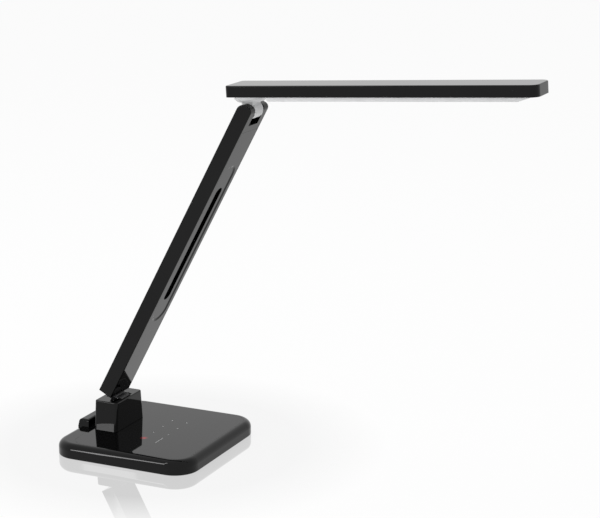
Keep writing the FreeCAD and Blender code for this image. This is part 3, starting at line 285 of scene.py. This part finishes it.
# two rows of four columns: the left column has the red light and a bar, the others have dots
markSizes = {
    "dotRadius": 0.0011, "barRadius": 0.0005, "chamfer": 0.00015, "ringPoints": 24,
    "columnStep": 0.0223, "columns": 4, "rows": 2,
}
lightsLow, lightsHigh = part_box("indicator_lights")  # the marks fill the box of the plain lights
panelTop = lightsHigh[2]
rearRow = lightsHigh[1] - markSizes["dotRadius"]
frontRow = lightsLow[1] + markSizes["dotRadius"]
rightColumn = lightsHigh[0] - markSizes["dotRadius"]
dotColumns = markSizes["columns"] - 1
leftColumn = rightColumn - dotColumns * markSizes["columnStep"]
barStretch = 2 * (leftColumn - lightsLow[0] - markSizes["barRadius"])
dotSizes = {
    "Columns": dotColumns, "Rows": markSizes["rows"],
    "ColumnStep": markSizes["columnStep"], "RowStep": rearRow - frontRow,
    "FirstPlace": (leftColumn + markSizes["columnStep"], frontRow, panelTop),
    "Radius": markSizes["dotRadius"], "Chamfer": markSizes["chamfer"], "Depth": panelTop - lightsLow[2],
    "RingPoints": markSizes["ringPoints"], "Stretch": 0.0,
}
oneMark = dict(dotSizes, Columns=1, Rows=1)
barSizes = dict(oneMark, FirstPlace=(leftColumn, frontRow, panelTop), Radius=markSizes["barRadius"],
                Stretch=barStretch)
standbySizes = dict(oneMark, FirstPlace=(leftColumn, rearRow, panelTop))
markLook = {
    "dark": (0.36, 0.365, 0.37), "light": (0.46, 0.465, 0.47),
    "broadScale": 500.0, "fineScale": 3000.0,
    "roughLow": 0.35, "roughHigh": 0.55, "bump": 0.1, "bumpDepth": 0.0001,
}
standbyLook = {
    "dark": (0.2, 0.02, 0.02), "light": (0.3, 0.035, 0.035),
    "broadScale": 500.0, "fineScale": 3000.0,
    "roughLow": 0.3, "roughHigh": 0.45, "bump": 0.1, "bumpDepth": 0.0001,
    "glow": (1.0, 0.12, 0.14), "glowLevel": 0.45,
    # the halo is painted glow on the panel, strongest at the standby light and gone at its reach
    "haloTint": (1.0, 0.03, 0.06), "haloLevel": 0.22, "haloReach": 0.0056,
}


def setGlow(material, tint, level):
    tree = material.node_tree
    shader = tree.nodes["Principled BSDF"]
    shader.inputs["Emission Color"].default_value = (*tint, 1)
    fill(tree, shader.inputs["Emission Strength"], level)


def makeTouchMarks():
    tree = makePipeTree()
    frosted = surfaceFinish("frostedMark", markLook)
    makeMarks("touchMarks", [growPipes(tree, sizes, frosted) for sizes in (dotSizes, barSizes)], frosted)
    red = surfaceFinish("standbyRed", standbyLook)
    setGlow(red, standbyLook["glow"], standbyLook["glowLevel"])
    makeMarks("standbyLight", [growPipes(tree, standbySizes, red)], red)


# a small red halo painted into the panel round the standby light: the panel's own emission stands in for
# the light spreading from it
def makeHalo():
    panel = finishes["panel_black"]
    tree = panel.node_tree
    place = addNode(tree, "ShaderNodeTexCoord").outputs["Object"]
    away = vectorNode(tree, "DISTANCE", place, standbySizes["FirstPlace"])
    # painted glow: emission on the panel that fades with distance from the standby light
    level = spread(tree, away, 0.0, standbyLook["haloReach"], standbyLook["haloLevel"], 0.0, "SMOOTHSTEP")
    setGlow(panel, standbyLook["haloTint"], level)


makeTouchMarks()
makeHalo()
print("touch marks made")


def grey(level):
    return (level, level, level, 1)


def mixShaders(tree, share, first, second):
    mix = addNode(tree, "ShaderNodeMixShader", Fac=share)
    fill(tree, mix.inputs[1], first)
    fill(tree, mix.inputs[2], second)
    return mix.outputs["Shader"]


# pale floor, white to the camera and to gloss, with the lamp's shadow and a mirror image that fades away
floorLook = {
    "half": 14.0, "albedo": 0.9, "whiteShare": 0.93,
    "mirror": 0.36, "mirrorNear": 0.17, "mirrorFar": 0.27,
}
floorMiddle = (0, 0, 0)


# one for a ray straight from the camera or by way of gloss or glass, else zero
def backdropRays(tree, path):
    bounced = mathNode(tree, "MAXIMUM", path["Is Glossy Ray"], path["Is Transmission Ray"])
    return mathNode(tree, "MAXIMUM", path["Is Camera Ray"], bounced)


def floorFinish():
    look = floorLook
    material, tree, shader = startMaterial("paleFloor")
    tree.nodes.remove(shader)
    path = addNode(tree, "ShaderNodeLightPath").outputs
    place = addNode(tree, "ShaderNodeTexCoord").outputs["Object"]
    lit = addNode(tree, "ShaderNodeBsdfDiffuse", Color=grey(look["albedo"]))
    white = addNode(tree, "ShaderNodeEmission")
    mirror = addNode(tree, "ShaderNodeBsdfGlossy", Roughness=0.0)
    whiteShare = mathNode(tree, "MULTIPLY", backdropRays(tree, path), look["whiteShare"])
    surface = mixShaders(tree, whiteShare, lit.outputs["BSDF"], white.outputs["Emission"])
    away = vectorNode(tree, "DISTANCE", place, floorMiddle)
    fade = spread(tree, away, look["mirrorNear"], look["mirrorFar"], look["mirror"], 0.0)
    mirrorShare = mathNode(tree, "MULTIPLY", path["Is Camera Ray"], fade)
    surface = mixShaders(tree, mirrorShare, surface, mirror.outputs["BSDF"])
    fill(tree, tree.nodes["Material Output"].inputs["Surface"], surface)
    return material


def makeFloor():
    half = floorLook["half"]
    corners = [(-half, -half, 0), (half, -half, 0), (half, half, 0), (-half, half, 0)]
    mesh = bpy.data.meshes.new("studioFloor")
    mesh.from_pydata(corners, [], [tuple(range(len(corners)))])
    mesh.materials.append(floorFinish())
    floor = bpy.data.objects.new("studioFloor", mesh)
    scene.collection.objects.link(floor)


# white to the camera and to gloss, and a plain level for the rest of the light
worldLook = {"backdrop": 1.0, "diffuse": 0.5}


def makeWorld():
    world = bpy.data.worlds.new("studioAir")
    world.use_nodes = True
    scene.world = world
    tree = world.node_tree
    path = addNode(tree, "ShaderNodeLightPath").outputs
    level = spread(tree, backdropRays(tree, path), 0.0, 1.0, worldLook["diffuse"], worldLook["backdrop"])
    back = tree.nodes["Background"]
    fill(tree, back.inputs["Color"], grey(1.0))
    fill(tree, back.inputs["Strength"], level)


# soft light from above and the left, hidden from gloss, and a strip that shows as a line on glossy edges
softboxes = {
    "overheadSoftbox": {
        "place": (0.2, 0.5, 2.2), "aim": (0, 0, 0.2), "size": (2.0, 2.0), "watts": 22.0,
        "inGloss": False,
    },
    "leftSoftbox": {
        "place": (-1.6, 0.5, 0.5), "aim": (0, -0.1, 0.35), "size": (1.0, 0.8), "watts": 5.0,
        "inGloss": False,
    },
    "leftStrip": {
        "place": (-1.62, 0.93, 1.15), "aim": (-0.08, -0.03, 0.01), "size": (0.12, 2.0), "watts": 11.0,
        "inGloss": True,
    },
}


def makeLights():
    for name, box in softboxes.items():
        light = bpy.data.lights.new(name, "AREA")
        light.shape = "RECTANGLE"
        light.size, light.size_y = box["size"]
        light.energy = box["watts"]
        holder = bpy.data.objects.new(name, light)
        holder.location = box["place"]
        away = Vector(box["aim"]) - Vector(box["place"])
        holder.rotation_euler = away.to_track_quat("-Z", "Y").to_euler()
        holder.visible_camera = False
        holder.visible_glossy = box["inGloss"]
        scene.collection.objects.link(holder)


# degrees for pan and tilt, millimetres for lens and sensor, metres for the rest
cameraView = {
    "place": (-1.7802, -1.0117, 0.7296), "pan": 65.074, "tilt": 13.994,
    "lens": 111.04, "sensor": 36.0, "clipEnd": 60.0,
}
levelPitch = 90  # an unturned camera looks straight down, and this pitch makes it level


def makeCamera():
    data = bpy.data.cameras.new("photoView")
    data.lens = cameraView["lens"]
    data.sensor_width = cameraView["sensor"]
    data.clip_end = cameraView["clipEnd"]
    camera = bpy.data.objects.new("photoView", data)
    camera.location = cameraView["place"]
    pitch = math.radians(levelPitch - cameraView["tilt"])
    camera.rotation_euler = (pitch, 0, math.radians(-cameraView["pan"]))
    scene.collection.objects.link(camera)
    scene.camera = camera


makeFloor()
makeWorld()
makeLights()
makeCamera()
scene.view_settings.view_transform = "Standard"
print("studio and camera ready")
